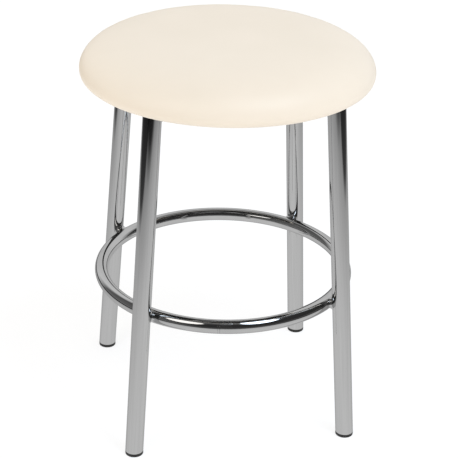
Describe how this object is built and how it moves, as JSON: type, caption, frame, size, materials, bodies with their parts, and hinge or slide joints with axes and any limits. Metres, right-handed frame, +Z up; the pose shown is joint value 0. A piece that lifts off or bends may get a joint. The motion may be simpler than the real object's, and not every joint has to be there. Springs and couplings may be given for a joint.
{
  "type": "counter stool",
  "caption": "Low round diner stool: padded leatherette seat on leaning chromed tube legs joined by a welded foot ring.",
  "frame": {"origin": "on the floor, below the middle of the seat and on the stool's upright axis", "axes": "+Z up; the legs stand on the diagonals between +X and +Y, with -Y taken as the front"},
  "size_m": [0.352, 0.352, 0.4818],
  "materials": {
    "chrome": "bright chrome plating on steel tube",
    "zinc": "zinc plated steel, satin",
    "plastic": "black moulded plastic, matt",
    "leatherette": "smooth cream leatherette with a fine grain and a soft sheen",
    "foam": "cut polyurethane foam",
    "plywood": "raw plywood, sanded"
  },
  "bodies": {
    "root": {"leg_front_left": "chrome", "foot_glide_front_left": "plastic", "ring_weld_front_left": "chrome", "rail_weld_front_left": "chrome", "washer_front_left": "zinc", "seat_screw_front_left": "zinc", "tee_nut_front_left": "zinc", "leg_front_right": "chrome", "foot_glide_front_right": "plastic", "ring_weld_front_right": "chrome", "rail_weld_front_right": "chrome", "washer_front_right": "zinc", "seat_screw_front_right": "zinc", "tee_nut_front_right": "zinc", "leg_rear_right": "chrome", "foot_glide_rear_right": "plastic", "ring_weld_rear_right": "chrome", "rail_weld_rear_right": "chrome", "washer_rear_right": "zinc", "seat_screw_rear_right": "zinc", "tee_nut_rear_right": "zinc", "leg_rear_left": "chrome", "foot_glide_rear_left": "plastic", "ring_weld_rear_left": "chrome", "rail_weld_rear_left": "chrome", "washer_rear_left": "zinc", "seat_screw_rear_left": "zinc", "tee_nut_rear_left": "zinc", "foot_ring": "chrome", "cross_rail_long": "chrome", "cross_rail_half_left": "chrome", "cross_rail_half_right": "chrome", "cross_weld_rear": "chrome", "cross_weld_left": "chrome", "cross_weld_front": "chrome", "cross_weld_right": "chrome", "seat_board": "plywood", "seat_foam": "foam", "seat_cover": "leatherette"}
  },
  "joints": []
}
